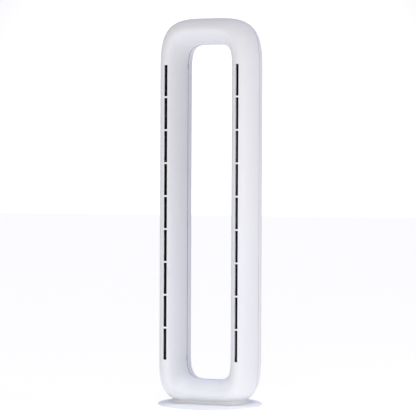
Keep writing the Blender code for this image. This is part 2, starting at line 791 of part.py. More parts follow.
def impeller(tower, motor_low):
    """Forward-curved blower wheel: a cup over the motor, a back plate, blades and a front ring."""
    axis = axis_empty("impeller_axis", (0.0, 0.0, 0.0), tower)
    back_low = motor_low + 0.0005
    top = BLOWER_HIGH - 0.0015
    profile = [
        (0.0, top - 0.0050), (0.0150, top - 0.0050), (0.0160, top - 0.0060), (0.0160, back_low + 0.0015),
        (IMPELLER_RADIUS, back_low + 0.0015), (IMPELLER_RADIUS, back_low), (0.0142, back_low),
        (0.0142, top - 0.0065), (0.0, top - 0.0065)]
    wheel = turned("wheel", profile, 36)
    blades = []
    for number in range(BLADE_COUNT):
        blade_tip = IMPELLER_RADIUS - 0.0006
        blade = box("blade", (0.0250, -0.0005, back_low + 0.001), (blade_tip, 0.0005, top - 0.0005))
        turn = 2 * math.pi * number / BLADE_COUNT
        middle = blade.location.x
        blade.location.x = middle * math.cos(turn)
        blade.location.y = middle * math.sin(turn)
        blade.rotation_euler.z = turn + BLADE_LEAN
        blades.append(blade)
    cut(wheel, join("impeller_blades", blades), "UNION")
    ring = plate("impeller_ring", [circle(IMPELLER_RADIUS, 36), circle(0.0280, 36)], top - 0.0012, top)
    cut(wheel, ring, "UNION")
    place(wheel, "impeller", black_plastic(), axis)
    shaft = rod("shaft", 0.0015, motor_low + 0.0002, top - 0.0068, sides=12)
    place(shaft, "impeller_shaft", steel(), axis)


# ---- filters ----

def column_cover(name, side):
    """Strip of the rear nose of one column, cut from a hollow length of the loop's own section."""
    section = half_section(1, 0.030, 0.0)
    x_middle = side * COLUMN_X
    points = []
    for z in (FILTER_LOW, FILTER_HIGH):
        points += [(x_middle + COLUMN_HALF * thickness, depth, z) for thickness, depth in section]
    row = len(section)
    faces = [(step, step + 1, row + step + 1, row + step) for step in range(row - 1)]
    cover = mesh_object(name, points, faces)
    wall = cover.modifiers.new("wall", "SOLIDIFY")
    wall.thickness = WALL
    wall.offset = -1.0
    wall.use_even_offset = True
    half = COVER_HALF_WIDTH
    cut(cover, box(name + "_limit", (x_middle - half, 0.03, 0.0), (x_middle + half, 0.2, 1.0)), "INTERSECT")
    pitch = (FILTER_HIGH - FILTER_LOW - 0.04) / INTAKE_ROWS
    louvres = []
    for row_number in range(INTAKE_ROWS):
        low = FILTER_LOW + 0.02 + row_number * pitch
        high = low + pitch * 0.45
        louvres.append(box("louvre", (x_middle - 0.013, 0.06, low), (x_middle + 0.013, 0.2, high)))
    cut(cover, join(name + "_louvres", louvres))
    return cover


def pleats(x_middle):
    """Pleated paper as one zigzag solid that runs up the cassette."""
    low, high = FILTER_LOW + 0.006, FILTER_HIGH - 0.006
    thickness = 0.0030
    front, back = FILTER_FRONT + 0.003, FILTER_BACK - 0.003 - thickness
    pitch = (high - low) / PLEAT_COUNT
    near = []
    for fold in range(2 * PLEAT_COUNT + 1):
        near.append((front if fold % 2 == 0 else back, low + fold * pitch / 2))
    outline = near + [(y + thickness, z) for y, z in reversed(near)]
    half = FILTER_HALF_WIDTH - 0.0028
    sheet = plate("pleats", [outline], -half, half)
    sheet.rotation_euler = (math.pi / 2, 0.0, math.pi / 2)
    sheet.location = (x_middle, 0.0, 0.0)
    return sheet


def filter_border(name, x_middle, front, back, width):
    """A rectangular border, open front and back, round a filter."""
    low, high = FILTER_LOW + 0.002, FILTER_HIGH - 0.002
    half, inner = FILTER_HALF_WIDTH, FILTER_HALF_WIDTH - width
    border = box(name, (x_middle - half, front, low), (x_middle + half, back, high))
    inner_low, inner_high = (x_middle - inner, 0.0, low + width), (x_middle + inner, 0.1, high - width)
    cut(border, box(f"{name}_hollow", inner_low, inner_high))
    return border


def filter_cassettes(tower):
    for name, side in SIDES:
        x_middle = side * COLUMN_X
        centre = (x_middle, FILTER_BACK, (FILTER_LOW + FILTER_HIGH) / 2)
        axis = axis_empty(f"filter_axis_{name}", centre, tower)
        place(column_cover(f"intake_cover_{name}", side), f"intake_cover_{name}", white_plastic(), axis)
        frame = filter_border(f"frame_{name}", x_middle, FILTER_FRONT, FILTER_BACK, 0.0015)
        place(frame, f"filter_frame_{name}", black_plastic(), axis)
        place(pleats(x_middle), f"filter_media_{name}", filter_paper(), axis)
        seal = filter_border(f"seal_{name}", x_middle, FILTER_FRONT - 0.0023, FILTER_FRONT - GAP, 0.0030)
        place(seal, f"filter_seal_{name}", rubber(), axis)


# ---- controls and electronics ----

def control_panel(tower):
    centres = [(x, 0.0) for _, x in BUTTONS]
    window = capsule(0.0090, 0.0045, (0.0225, 0.0))
    outlines = [capsule(PANEL_HALF_LENGTH, PANEL_HALF_WIDTH)]
    outlines += [circle(BUTTON_RADIUS + GAP, 16, centre) for centre in centres]
    panel = plate("panel", outlines + [window], PANEL_BOTTOM, PANEL_TOP)
    panel.location.y = SEAM_Y
    place(panel, "control_panel", black_plastic(), tower)
    glass = capsule(0.0090 - GAP, 0.0045 - GAP, (0.0225, 0.0))
    lens = plate("lens", [glass], PANEL_BOTTOM + 0.001, PANEL_TOP - 0.0002)
    lens.location.y = SEAM_Y
    place(lens, "display_lens", material("smoked_lens", (0.02, 0.02, 0.025), 0.15), tower)
    board = plate("board", [capsule(0.030, 0.0085)], 0.9850, 0.9866)
    board.location.y = SEAM_Y
    place(board, "control_board", circuit_board(), tower)
    stem_low = 0.9866 + GAP + BUTTON_TRAVEL
    for name, x in BUTTONS:
        axis = axis_empty(f"{name}_button_axis", (x, SEAM_Y, PANEL_TOP), tower)
        top = PANEL_TOP + 0.0004
        profile = [
            (0.0, top), (BUTTON_RADIUS - 0.0004, top), (BUTTON_RADIUS, top - 0.0004),
            (BUTTON_RADIUS, PANEL_BOTTOM), (0.0015, PANEL_BOTTOM), (0.0015, stem_low), (0.0, stem_low)]
        place(turned("button", profile, 16), f"{name}_button", grey_plastic(), axis, (x, SEAM_Y, 0.0))


def electronics(tower):
    """Power inlet at the lower rear, main board beside the blower, sensor in the top bridge."""
    wall = 0.0022
    inlet = box("inlet", (-INLET_HALF_WIDTH, 0.0560, INLET_LOW), (INLET_HALF_WIDTH, 0.0780, INLET_HIGH))
    socket_half = INLET_HALF_WIDTH - 0.0037
    low, high = INLET_LOW + wall, INLET_HIGH - wall
    cut(inlet, box("inlet_socket", (-socket_half, 0.0620, low), (socket_half, 0.2, high)))
    place(inlet, "power_inlet", black_plastic(), tower)
    board = box("board", (0.056, -0.020, 0.0180), (0.084, 0.020, 0.0196))
    place(board, "main_board", circuit_board(), tower)
    sensor = box("sensor", (0.050, -0.018, 0.9560), (0.074, 0.018, 0.9680))
    place(sensor, "particle_sensor", grey_plastic(), tower)


def build():
    base_cover()
    base_weight()
    base_fixings()
    swivel_post()
    slide_washer()
    post_retainer()
    gear_ring()
    tower = axis_empty("swivel_axis")
    front_shell(tower)
    rear_shell(tower)
    casing_screws(tower)
    outlet_grilles(tower)
    air_ducts(tower)
    tower_foot(tower)
    foot_screws(tower)
    oscillation_drive(tower)
    impeller(tower, blower(tower))
    filter_cassettes(tower)
    control_panel(tower)
    electronics(tower)


clear_scene()
PARTS = new_collection("air_purifier")
CUTTERS = new_collection("cutters")
build()
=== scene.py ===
"""Looks of the loop tower air purifier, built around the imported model. Metres, +Z up, front faces -Y."""

import json
import math

import bmesh
import bpy
from mathutils import Matrix, Vector


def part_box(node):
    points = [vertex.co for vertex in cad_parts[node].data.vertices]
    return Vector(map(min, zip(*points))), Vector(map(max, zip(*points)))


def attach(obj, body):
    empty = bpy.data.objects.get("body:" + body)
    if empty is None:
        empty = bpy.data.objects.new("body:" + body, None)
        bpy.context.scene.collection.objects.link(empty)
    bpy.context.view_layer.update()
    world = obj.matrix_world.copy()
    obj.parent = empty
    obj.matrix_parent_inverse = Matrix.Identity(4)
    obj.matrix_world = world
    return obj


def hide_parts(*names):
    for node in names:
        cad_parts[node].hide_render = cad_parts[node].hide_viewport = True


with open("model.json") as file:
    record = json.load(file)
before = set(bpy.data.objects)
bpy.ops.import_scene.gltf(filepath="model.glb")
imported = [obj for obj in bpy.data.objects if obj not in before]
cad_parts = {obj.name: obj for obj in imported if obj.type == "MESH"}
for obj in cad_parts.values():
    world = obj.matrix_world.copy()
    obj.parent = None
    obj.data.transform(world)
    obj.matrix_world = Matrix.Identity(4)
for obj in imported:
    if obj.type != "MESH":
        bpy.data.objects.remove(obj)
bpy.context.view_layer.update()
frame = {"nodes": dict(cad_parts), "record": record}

# Loop tower, as in the CAD model, its top a hair lower so that the finer mesh stays in the CAD box.
SHELL_LOW, SHELL_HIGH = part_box("front_shell")
REAR_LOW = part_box("rear_shell")[0]
TOWER_TOP = 0.9997
TOWER_BOTTOM = 0.0053
OUTER_HALF_WIDTH = SHELL_HIGH.x
OUTER_LOW_CORNER = (0.134, 4.02)
OUTER_HIGH_CORNER = (0.162, 3.9)
HOLE_TOP = 0.9317
HOLE_BOTTOM = 0.0665
HOLE_HALF_WIDTH = 0.0630
HOLE_CORNER = (0.0786, 4.06)
HALF_DEPTH = -SHELL_LOW.y
SECTION_POWER = 1.85
WALL = 0.0025
SAME_POINT = 0.00001
COLUMN_X = (OUTER_HALF_WIDTH + HOLE_HALF_WIDTH) / 2
COLUMN_HALF = (OUTER_HALF_WIDTH - HOLE_HALF_WIDTH) / 2
SEAM_Y = (SHELL_HIGH.y + REAR_LOW.y) / 2
SEAM_GAP = 0.0024

# Mesh density.
CORNER_STEPS = 26
SECTION_STEPS = 36
COLUMN_LOW = 0.112
COLUMN_HIGH = 0.886
COLUMN_STEP = 0.020

# Air outlets and filter bays.
SLOT_COUNT = 9
SLOT_LOW = 0.1223
SLOT_HIGH = 0.8761
SLOT_BRIDGE = 0.0045
SLOT_WIDTH = 0.0077
SLOT_X = 0.0950
SLOT_PITCH = (SLOT_HIGH - SLOT_LOW + SLOT_BRIDGE) / SLOT_COUNT
COVER_LOW, COVER_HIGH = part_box("intake_cover_right")
CLEARANCE = 0.0003
COVER_HALF = (COVER_HIGH.x - COVER_LOW.x) / 2

SIDES = (("left", -1), ("right", 1))

# A depth behind the whole tower: cutters reach it and rays start from it.
BEHIND = 0.2


# ---- materials ----

def new_material(name):
    """(material, node tree, shader) of a new material."""
    made = bpy.data.materials.new(name)
    made.use_nodes = True
    return made, made.node_tree, made.node_tree.nodes["Principled BSDF"]


def add_node(tree, kind, **values):
    """A new node; each value goes to its property, or else to the socket of that name."""
    node = tree.nodes.new(kind)
    for key, value in values.items():
        if hasattr(node, key):
            setattr(node, key, value)
        else:
            node.inputs[key.replace("_", " ")].default_value = value
    return node


def noise(tree, scale, detail=3.0, roughness=0.5, stretch=(1.0, 1.0, 1.0)):
    """Noise in the piece's own coordinates, in cycles per metre."""
    place = add_node(tree, "ShaderNodeTexCoord")
    shape = add_node(tree, "ShaderNodeMapping")
    shape.inputs["Scale"].default_value = stretch
    made = add_node(tree, "ShaderNodeTexNoise", Scale=scale, Detail=detail, Roughness=roughness)
    tree.links.new(place.outputs["Object"], shape.inputs["Vector"])
    tree.links.new(shape.outputs["Vector"], made.inputs["Vector"])
    return made.outputs["Fac"]


def spread(tree, source, low, high, start=0.3, end=0.7):
    """Maps a noise to the range low to high."""
    made = add_node(tree, "ShaderNodeMapRange")
    made.inputs["From Min"].default_value = start
    made.inputs["From Max"].default_value = end
    made.inputs["To Min"].default_value = low
    made.inputs["To Max"].default_value = high
    tree.links.new(source, made.inputs["Value"])
    return made.outputs["Result"]


def tint(tree, factor, first, second):
    """Mixes two colours by a factor."""
    made = add_node(tree, "ShaderNodeMix", data_type="RGBA")
    made.inputs["A"].default_value = (*first, 1.0)
    made.inputs["B"].default_value = (*second, 1.0)
    tree.links.new(factor, made.inputs["Factor"])
    return made.outputs["Result"]


def bump(tree, height, strength, distance, below=None):
    """A bumped normal, laid over another one if it is given."""
    made = add_node(tree, "ShaderNodeBump")
    made.inputs["Strength"].default_value = strength
    made.inputs["Distance"].default_value = distance
    tree.links.new(height, made.inputs["Height"])
    if below is not None:
        tree.links.new(below, made.inputs["Normal"])
    return made.outputs["Normal"]


def edge_factor(tree, low=0.52, high=0.60):
    """0 on flats, rising to 1 on convex edges."""
    shape = add_node(tree, "ShaderNodeNewGeometry")
    return spread(tree, shape.outputs["Pointiness"], 0.0, 1.0, low, high)


def moulded_plastic(
        name, color, roughness, vary=0.03, grain=0.00002, grain_scale=2600.0, worn=0.06, gloss=0.5):
    """Moulded plastic: faint mottling, spark-eroded grain, a slow waviness and slightly rubbed edges."""
    made, tree, shader = new_material(name)
    dark = tuple(max(0.0, c * (1 - vary)) for c in color)
    body = tint(tree, spread(tree, noise(tree, 14.0, 4.0), 0.0, 1.0), dark, color)
    rubbed = tuple(min(1.0, c + worn) for c in color)
    mix = add_node(tree, "ShaderNodeMix", data_type="RGBA")
    tree.links.new(edge_factor(tree), mix.inputs["Factor"])
    tree.links.new(body, mix.inputs["A"])
    mix.inputs["B"].default_value = (*rubbed, 1.0)
    tree.links.new(mix.outputs["Result"], shader.inputs["Base Color"])
    patchy = spread(tree, noise(tree, 60.0, 5.0), roughness - 0.04, roughness + 0.05)
    tree.links.new(patchy, shader.inputs["Roughness"])
    slow = bump(tree, noise(tree, 22.0, 2.0), 0.12, 0.0006)
    fine = bump(tree, noise(tree, grain_scale, 2.0), 0.35, grain, slow)
    tree.links.new(fine, shader.inputs["Normal"])
    shader.inputs["Specular IOR Level"].default_value = gloss
    return made


def brushed_metal(name, color, roughness, along=(1.0, 1.0, 30.0)):
    """Metal with fine scratches along one axis."""
    made, tree, shader = new_material(name)
    dark = tuple(c * 0.8 for c in color)
    body = tint(tree, spread(tree, noise(tree, 40.0, 5.0), 0.0, 1.0), dark, color)
    tree.links.new(body, shader.inputs["Base Color"])
    shader.inputs["Metallic"].default_value = 1.0
    grain = noise(tree, 260.0, 3.0, 0.6, along)
    tree.links.new(spread(tree, grain, roughness - 0.08, roughness + 0.12), shader.inputs["Roughness"])
    tree.links.new(bump(tree, grain, 0.25, 0.00003), shader.inputs["Normal"])
    return made


def matt_rubber():
    """Dull black rubber with a fine tooth."""
    made, tree, shader = new_material("matt_rubber")
    body = tint(tree, noise(tree, 90.0, 5.0), (0.018, 0.018, 0.019), (0.045, 0.044, 0.043))
    tree.links.new(body, shader.inputs["Base Color"])
    tree.links.new(spread(tree, noise(tree, 300.0, 3.0), 0.78, 0.95), shader.inputs["Roughness"])
    tree.links.new(bump(tree, noise(tree, 1200.0, 3.0), 0.4, 0.00004), shader.inputs["Normal"])
    return made


def filter_paper():
    """Spun glass paper: fibrous mottling and a soft bump."""
    made, tree, shader = new_material("filter_paper")
    fibres = noise(tree, 700.0, 6.0, 0.7, (1.0, 1.0, 6.0))
    body = tint(tree, spread(tree, fibres, 0.0, 1.0), (0.70, 0.69, 0.64), (0.86, 0.85, 0.81))
    tree.links.new(body, shader.inputs["Base Color"])
    tree.links.new(spread(tree, noise(tree, 120.0, 3.0), 0.85, 0.97), shader.inputs["Roughness"])
    tree.links.new(bump(tree, fibres, 0.5, 0.0001), shader.inputs["Normal"])
    return made


def circuit_board():
    """Green solder mask with the shadow of tracks under it."""
    made, tree, shader = new_material("circuit_board")
    place = add_node(tree, "ShaderNodeTexCoord")
    tracks = add_node(tree, "ShaderNodeTexBrick", Scale=160.0)
    tracks.inputs["Mortar Size"].default_value = 0.03
    tracks.inputs["Color1"].default_value = (0.012, 0.10, 0.045, 1.0)
    tracks.inputs["Color2"].default_value = (0.016, 0.13, 0.060, 1.0)
    tracks.inputs["Mortar"].default_value = (0.05, 0.24, 0.11, 1.0)
    tree.links.new(place.outputs["Object"], tracks.inputs["Vector"])
    tree.links.new(tracks.outputs["Color"], shader.inputs["Base Color"])
    tree.links.new(spread(tree, noise(tree, 200.0), 0.25, 0.45), shader.inputs["Roughness"])
    return made


def smoked_lens():
    """Smoked acrylic under a clear coat."""
    made, tree, shader = new_material("smoked_lens")
    body = tint(tree, noise(tree, 30.0), (0.008, 0.008, 0.010), (0.016, 0.016, 0.019))
    tree.links.new(body, shader.inputs["Base Color"])
    tree.links.new(spread(tree, noise(tree, 80.0, 4.0), 0.05, 0.14), shader.inputs["Roughness"])
    shader.inputs["Coat Weight"].default_value = 0.6
    return made


WHITE = (0.86, 0.86, 0.86)
# Paler, faintly bluer copy of the shell's white for the base disc, which is of the shell's plastic: painted
# light on the disc.
LIT_BASE_WHITE = (0.95, 0.96, 0.98)
BLACK = (0.006, 0.006, 0.007)
SATIN = {"vary": 0.012, "grain": 0.00001, "grain_scale": 1800.0, "worn": 0.03, "gloss": 0.2}
MATT_BLACK = {"vary": 0.3, "grain": 0.00004, "grain_scale": 1500.0, "worn": 0.004, "gloss": 0.08}
BLACK_SHEEN = {"vary": 0.2, "grain_scale": 2200.0, "worn": 0.02}
GREY_KEYS = {"vary": 0.06, "grain": 0.00003, "grain_scale": 2400.0, "worn": 0.05}
GREY_GRAINED = {"vary": 0.08, "grain": 0.00004, "grain_scale": 1500.0, "worn": 0.05}
SLIPPERY = {"grain": 0.00001, "grain_scale": 1500.0, "worn": 0.04}

LOOKS = {
    "white_shell": moulded_plastic("white_shell_plastic", WHITE, 0.45, **SATIN),
    "white_cover": moulded_plastic("white_cover_plastic", WHITE, 0.47, **SATIN),
    "lit_base": moulded_plastic("lit_base_plastic", LIT_BASE_WHITE, 0.45, **SATIN),
    "black_grille": moulded_plastic("black_grille_plastic", BLACK, 0.80, **MATT_BLACK),
    "black_panel": moulded_plastic("black_panel_plastic", (0.016, 0.016, 0.018), 0.30, **BLACK_SHEEN),
    "smoked_lens": smoked_lens(),
    "grey_button": moulded_plastic("grey_button_plastic", (0.20, 0.21, 0.225), 0.42, **GREY_KEYS),
    "grey_plastic": moulded_plastic("grey_plastic", (0.28, 0.29, 0.31), 0.50, **GREY_GRAINED),
    "zinc_steel": brushed_metal("zinc_steel", (0.56, 0.57, 0.59), 0.34),
    "rubber": matt_rubber(),
    "acetal": moulded_plastic("acetal", (0.74, 0.73, 0.69), 0.36, **SLIPPERY),
    "filter_paper": filter_paper(),
    "circuit_board": circuit_board(),
    "bronze": brushed_metal("bronze", (0.55, 0.38, 0.20), 0.38),
}


# ---- mesh helpers ----

def object_of(name, mesh):
    obj = bpy.data.objects.new(name, mesh)
    bpy.context.scene.collection.objects.link(obj)
    return obj


def new_object(name, points, faces):
    mesh = bpy.data.meshes.new(name)
    mesh.from_pydata(points, [], faces)
    return object_of(name, mesh)


def add_modifier(obj, name, kind, **values):
    made = obj.modifiers.new(name, kind)
    for key, value in values.items():
        setattr(made, key, value)
    return made


def round_edges(obj, width, segments=2, angle=40.0):
    """Rounds every edge sharper than the angle."""
    add_modifier(obj, "rounded edges", "BEVEL", width=width, segments=segments, limit_method="ANGLE",
                 angle_limit=math.radians(angle), harden_normals=True, use_clamp_overlap=True)


def bake_modifiers(obj):
    """Applies an object's modifiers to its mesh."""
    bpy.context.view_layer.update()
    shown = obj.evaluated_get(bpy.context.evaluated_depsgraph_get())
    mesh = bpy.data.meshes.new_from_object(shown)
    obj.modifiers.clear()
    obj.data = mesh


def cut(obj, cutter):
    """Cuts obj with a closed cutter, which is then removed."""
    add_modifier(obj, cutter.name, "BOOLEAN", operation="DIFFERENCE", solver="EXACT", object=cutter)
    bake_modifiers(obj)
    bpy.data.objects.remove(cutter, do_unlink=True)


def box(name, low, high):
    """A closed box between two corners."""
    made = bmesh.new()
    bmesh.ops.create_cube(made, size=1.0)
    size = Vector(high) - Vector(low)
    middle = (Vector(high) + Vector(low)) / 2
    for corner in made.verts:
        corner.co = Vector(a * b for a, b in zip(corner.co, size)) + middle
    mesh = bpy.data.meshes.new(name)
    made.to_mesh(mesh)
    made.free()
    return object_of(name, mesh)


def prism(name, outline, low, high):
    """A closed prism over an (x, y) outline that runs counter-clockwise."""
    count = len(outline)
    points = [(x, y, low) for x, y in outline] + [(x, y, high) for x, y in outline]
    faces = [tuple(reversed(range(count))), tuple(range(count, 2 * count))]
    faces += [(i, (i + 1) % count, count + (i + 1) % count, count + i) for i in range(count)]
    return new_object(name, points, faces)


def turned(name, profile, steps=128):
    """A (radius, height) profile, top to bottom down its outer side, turned round Z."""
    closed = profile[0][0] > 0.0
    count = len(profile)
    edges = [(i, i + 1) for i in range(count - 1)] + ([(count - 1, 0)] if closed else [])
    mesh = bpy.data.meshes.new(name)
    mesh.from_pydata([(r, 0.0, z) for r, z in profile], edges, [])
    obj = object_of(name, mesh)
    add_modifier(obj, "turn", "SCREW", steps=steps, render_steps=steps,
                 use_merge_vertices=True, merge_threshold=SAME_POINT)
    return obj


def ring_loft(name, rows):
    """A closed ring skinned through rows of points; the last row joins back to the first."""
    count = len(rows[0])
    faces = []
    for row in range(len(rows)):
        start, following = row * count, (row + 1) % len(rows) * count
        for step in range(count):
            after = (step + 1) % count
            faces.append((start + step, following + step, following + after, start + after))
    obj = new_object(name, [point for row in rows for point in row], faces)
    face_outwards(obj)
    return obj


def face_outwards(obj):
    """Turns the faces of a closed mesh outwards."""
    made = bmesh.new()
    made.from_mesh(obj.data)
    bmesh.ops.recalc_face_normals(made, faces=made.faces)
    made.to_mesh(obj.data)
    made.free()


def merged(name, objects):
    """Makes one object of several closed ones."""
    made = bmesh.new()
    for obj in objects:
        obj.data.transform(obj.matrix_basis)
        made.from_mesh(obj.data)
    for obj in objects:
        bpy.data.objects.remove(obj, do_unlink=True)
    mesh = bpy.data.meshes.new(name)
    made.to_mesh(mesh)
    made.free()
    return object_of(name, mesh)


def dress(obj, look, angle=35.0):
    """One material and smooth shading, with edges sharper than the angle kept."""
    obj.data.materials.clear()
    obj.data.materials.append(LOOKS[look])
    obj.data.shade_smooth()
    obj.data.set_sharp_from_angle(angle=math.radians(angle))


def finish_piece(obj, slot, body, *nodes, angle=35.0, look=None):
    """Look, body and replaced CAD nodes of a piece; the look is the slot's own unless given."""
    dress(obj, look or slot, angle)
    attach(obj, body)
    if nodes:
        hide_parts(*nodes)
    return obj


def arc(radius, start, end, steps, centre=(0.0, 0.0)):
    """(x, y) points along an arc between two angles in degrees."""
    angles = [math.radians(start + (end - start) * step / steps) for step in range(steps + 1)]
    return [(centre[0] + radius * math.cos(a), centre[1] + radius * math.sin(a)) for a in angles]


def capsule(half_length, radius, centre=(0.0, 0.0), steps=16):
    """Outline of a straight bar with round ends along X, counter-clockwise."""
    reach = half_length - radius
    right = arc(radius, -90, 90, steps, (centre[0] + reach, centre[1]))
    left = arc(radius, 90, 270, steps, (centre[0] - reach, centre[1]))
    return right + left


# ---- the loop's surface ----

def corner_point(angle, outline, upward):
    """(x, z) on a superellipse corner of an outline; the angle runs from the column to the bridge."""
    half_width, bottom, top, low_corner, high_corner = outline
    height, power = high_corner if upward else low_corner
    centre_z = top - height if upward else bottom + height
    rise = height * abs(math.sin(angle)) ** (2 / power)
    x = half_width * abs(math.cos(angle)) ** (2 / power)
    return x, centre_z + rise if upward else centre_z - rise


def outline_x(z, outline):
    """Half width of an outline at height z."""
    half_width, bottom, top, low_corner, high_corner = outline
    height, power = high_corner if z > (bottom + top) / 2 else low_corner
    rise = max(z - (top - height), bottom + height - z, 0.0) / height
    return half_width * (1 - rise ** power) ** (1 / power)


OUTER = (OUTER_HALF_WIDTH, TOWER_BOTTOM, TOWER_TOP, OUTER_LOW_CORNER, OUTER_HIGH_CORNER)
HOLE = (HOLE_HALF_WIDTH, HOLE_BOTTOM, HOLE_TOP, HOLE_CORNER, HOLE_CORNER)


def corner_run(outline, level, upward, steps):
    """Evenly spaced (x, z) points from a column at a level, round the corner, to the bridge's middle."""
    sign = 1 if upward else -1
    samples = 400
    dense = [corner_point(math.pi / 2 * sample / samples, outline, upward) for sample in range(samples)]
    dense = [(x, z) for x, z in dense if sign * (z - level) > 0]
    bridge_z = outline[2] if upward else outline[1]
    dense = [(outline_x(level, outline), level)] + dense + [(0.0, bridge_z)]
    lengths = [0.0]
    for (xa, za), (xb, zb) in zip(dense, dense[1:]):
        lengths.append(lengths[-1] + math.hypot(xb - xa, zb - za))
    points, place = [], 0
    for step in range(steps + 1):
        want = lengths[-1] * step / steps
        while place < len(lengths) - 2 and lengths[place + 1] < want:
            place += 1
        share = (want - lengths[place]) / (lengths[place + 1] - lengths[place])
        (xa, za), (xb, zb) = dense[place], dense[place + 1]
        points.append((xa + (xb - xa) * share, za + (zb - za) * share))
    return points


def column_levels(marks):
    """Heights up a column that include every mark, with no step above COLUMN_STEP."""
    marks = sorted(set([COLUMN_LOW, COLUMN_HIGH] + list(marks)))
    levels = []
    for low, high in zip(marks, marks[1:]):
        count = max(1, math.ceil((high - low) / COLUMN_STEP))
        levels += [low + (high - low) * step / count for step in range(count)]
    return levels + [marks[-1]]


def corner_pairs(level, upward):
    """(outer point, hole point) pairs from a column, round the corner, to the bridge's middle."""
    outer = corner_run(OUTER, level, upward, CORNER_STEPS)
    hole = corner_run(HOLE, level, upward, CORNER_STEPS)
    return list(zip(outer, hole))


def half_loop_stations(marks):
    """(outer point, hole point) pairs from the bottom bridge's middle up the right column to the top."""
    low, high = corner_pairs(COLUMN_LOW, False), corner_pairs(COLUMN_HIGH, True)
    middle = [((outline_x(z, OUTER), z), (outline_x(z, HOLE), z)) for z in column_levels(marks)]
    return low[::-1] + middle[1:-1] + high


def section_row(side, seam, marks):
    """(thickness, depth) points round half of the section, outer wall to hole wall, with the marks."""
    edge = (1 - (abs(seam) / HALF_DEPTH) ** SECTION_POWER) ** (1 / SECTION_POWER)
    steps = [math.cos(math.pi * step / SECTION_STEPS) for step in range(SECTION_STEPS + 1)]
    row = [math.copysign(abs(c) ** (2 / SECTION_POWER), c) * edge for c in steps]
    for mark in marks:
        nearest = min(range(1, SECTION_STEPS), key=lambda place: abs(row[place] - mark))
        row[nearest] = mark
    points = []
    for thickness in row:
        depth = side * HALF_DEPTH * (1 - abs(thickness) ** SECTION_POWER) ** (1 / SECTION_POWER)
        points.append((thickness, depth))
    points[0] = (edge, seam)
    points[-1] = (-edge, seam)
    return points


def loop_surface(name, side, seam, level_marks, section_marks, opening):
    """Right half of a front or rear surface, without the faces for which opening(z, thickness) holds."""
    stations = half_loop_stations(level_marks)
    section = section_row(side, seam, section_marks)
    row = len(section)
    points = []
    for (outer_x, outer_z), (hole_x, hole_z) in stations:
        for thickness, depth in section:
            x = (outer_x + hole_x) / 2 + (outer_x - hole_x) / 2 * thickness
            z = (outer_z + hole_z) / 2 + (outer_z - hole_z) / 2 * thickness
            points.append((x, depth, z))
    faces = []
    for station in range(len(stations) - 1):
        for step in range(row - 1):
            first = station * row + step
            face = (first, first + row, first + row + 1, first + 1)
            middle_z = sum(points[corner][2] for corner in face) / 4
            if not opening(middle_z, (section[step][0] + section[step + 1][0]) / 2):
                faces.append(face if side < 0 else face[::-1])
    return new_object(name, points, faces)


def loop_shell(name, side, level_marks, section_marks, opening):
    """Front (-1) or rear (1) shell of the loop, up to the seam, with its wall."""
    shell = loop_surface(name, side, SEAM_Y + side * SEAM_GAP / 2, level_marks, section_marks, opening)
    add_modifier(shell, "mirror", "MIRROR", merge_threshold=SAME_POINT)
    add_modifier(shell, "wall", "SOLIDIFY", thickness=WALL, offset=-1.0, use_even_offset=True)
    bake_modifiers(shell)
    return shell


# ---- tower casing ----

TRIM_Z = SHELL_LOW.z
SLOT_INNER = (SLOT_X - SLOT_WIDTH / 2 - COLUMN_X) / COLUMN_HALF
SLOT_OUTER = (SLOT_X + SLOT_WIDTH / 2 - COLUMN_X) / COLUMN_HALF
SLOT_LOWS = [SLOT_LOW + row * SLOT_PITCH for row in range(SLOT_COUNT)]
SLOT_ROWS = [(low, low + SLOT_PITCH - SLOT_BRIDGE) for low in SLOT_LOWS]
BAY_EDGE = (COVER_HALF + CLEARANCE) / COLUMN_HALF
BAY_LOW = COVER_LOW.z - CLEARANCE
BAY_HIGH = COVER_HIGH.z + CLEARANCE
EDGE_ROUND = 0.0007
BORE_RADIUS = 0.0040
SLEEVE_WALL = 0.0012


def nose_depth(x):
    """Depth of the section's surface at a distance x from the loop's middle, on a straight column."""
    thickness = abs(x - COLUMN_X) / COLUMN_HALF
    return HALF_DEPTH * (1 - thickness ** SECTION_POWER) ** (1 / SECTION_POWER)


def in_slot(z, thickness):
    return SLOT_INNER < thickness < SLOT_OUTER and any(low < z < high for low, high in SLOT_ROWS)


def in_bay(z, thickness):
    return abs(thickness) < BAY_EDGE and BAY_LOW < z < BAY_HIGH


def panel_cutter(name):
    """Capsule through both shells where the control panel sits."""
    below, above = 0.008, 0.020
    low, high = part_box("control_panel")
    half_length = (high.x - low.x) / 2 + CLEARANCE
    radius = (high.y - low.y) / 2 + CLEARANCE
    middle = (low + high) / 2
    outline = capsule(half_length, radius, (middle.x, middle.y), 24)
    return prism(name, outline, low.z - below, high.z + above)


def trim_cutter(name):
    """Everything below the casing's lower edge."""
    below = -0.05
    return box(name, (-BEHIND, -BEHIND, below), (BEHIND, BEHIND, TRIM_Z))


def front_shell():
    """Front half of the loop, with its outlet slots."""
    marks = [level for row in SLOT_ROWS for level in row]
    shell = loop_shell("tower_front_shell", -1, marks, (SLOT_INNER, SLOT_OUTER), in_slot)
    cut(shell, trim_cutter("front_trim"))
    cut(shell, panel_cutter("front_panel_opening"))
    round_edges(shell, EDGE_ROUND, 3)
    return finish_piece(shell, "white_shell", "tower", "front_shell")


def screw_middles():
    """(x, seat depth, z) of each casing screw."""
    head = 0.0025
    middles = []
    for number in range(1, 5):
        low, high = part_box(f"casing_screw_{number}")
        middles.append(((low.x + high.x) / 2, high.y - head, (low.z + high.z) / 2))
    return middles


def prism_along_y(name, outline, front, back, x, z):
    """A closed prism over an (x, z) outline, from a front depth to a back depth."""
    made = prism(name, outline, 0.0, back - front)
    made.data.transform(Matrix.Translation((x, back, z)) @ Matrix.Rotation(math.pi / 2, 4, "X"))
    return made


def rod_along_y(name, radius, front, back, x, z, sides=32):
    return prism_along_y(name, arc(radius, 0, 360 - 360 / sides, sides - 1), front, back, x, z)


